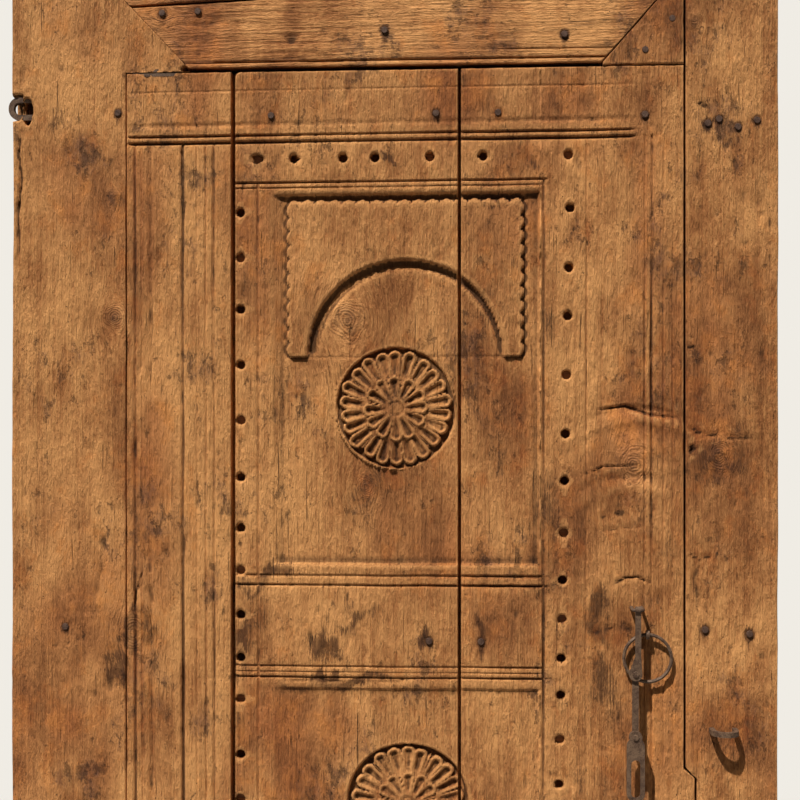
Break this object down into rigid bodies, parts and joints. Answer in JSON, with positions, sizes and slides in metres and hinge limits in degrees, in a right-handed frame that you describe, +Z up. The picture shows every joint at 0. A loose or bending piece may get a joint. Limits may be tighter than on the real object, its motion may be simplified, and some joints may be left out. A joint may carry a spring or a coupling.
{
  "type": "carved wooden door",
  "caption": "Old carved wooden door in its boarded frame: planks with sunk panels, a scalloped arch and rosettes, iron pivots, a hanging hasp, a ring pull and staples",
  "frame": {"origin": "on the ground, at the middle of the whole door's width and depth", "axes": "+X to the right as seen from the front, -Y out of the carved front, +Z up"},
  "size_m": [0.968, 0.103, 1.98],
  "materials": {
    "frame_boards": "weathered",
    "carved_planks": "weathered",
    "back_timber": "rough sawn",
    "pegs": "broken",
    "nail_iron": "rusty",
    "forged_iron": "rusty"
  },
  "bodies": {
    "frame": {"left_post": "back_timber", "right_post": "back_timber", "head_beam": "back_timber", "sill": "back_timber", "left_casing": "frame_boards", "right_casing": "frame_boards", "corner_board": "frame_boards", "lower_head_board": "frame_boards", "upper_head_board": "frame_boards", "frame_nails": "nail_iron", "top_socket_plate": "forged_iron", "bottom_socket_plate": "forged_iron", "frame_plate_nails": "nail_iron", "wall_eye": "forged_iron", "staple_eye": "forged_iron"},
    "leaf": {"hinge_plank": "carved_planks", "middle_plank": "carved_planks", "lock_plank": "carved_planks", "top_ledge": "back_timber", "middle_ledge": "back_timber", "bottom_ledge": "back_timber", "leaf_nails": "nail_iron", "top_pivot": "forged_iron", "bottom_pivot": "forged_iron", "leaf_plate_nails": "nail_iron", "peg_stubs": "pegs", "hasp_staple": "forged_iron", "ring_eye": "forged_iron"},
    "hasp": {"hasp_strap": "forged_iron", "upper_rivet": "forged_iron"},
    "link": {"hasp_link": "forged_iron", "lower_rivet": "forged_iron"},
    "end_link": {"hasp_end_link": "forged_iron"},
    "ring": {"ring_pull": "forged_iron"}
  },
  "joints": [
    {"name": "leaf_swing", "type": "hinge", "parent": "frame", "child": "leaf", "pos_m": [-0.3199, -0.0175, 0.9], "axis": [0, 0, -1], "range_deg": [0, 100]},
    {"name": "hasp_swing", "type": "hinge", "parent": "leaf", "child": "hasp", "pos_m": [0.31, -0.04525, 1.0627], "axis": [-1, 0, 0], "range_deg": [0, 100]},
    {"name": "link_swing", "type": "hinge", "parent": "hasp", "child": "link", "pos_m": [0.307, -0.0437, 0.9842], "axis": [0, 1, 0], "range_deg": [-40, 60]},
    {"name": "end_link_swing", "type": "hinge", "parent": "link", "child": "end_link", "pos_m": [0.307, -0.0437, 0.9072], "axis": [0, 1, 0], "range_deg": [-60, 60]},
    {"name": "ring_swing", "type": "hinge", "parent": "leaf", "child": "ring", "pos_m": [0.3231, -0.0301, 1.0303], "axis": [-1, 0, 0], "range_deg": [-3, 5]}
  ]
}
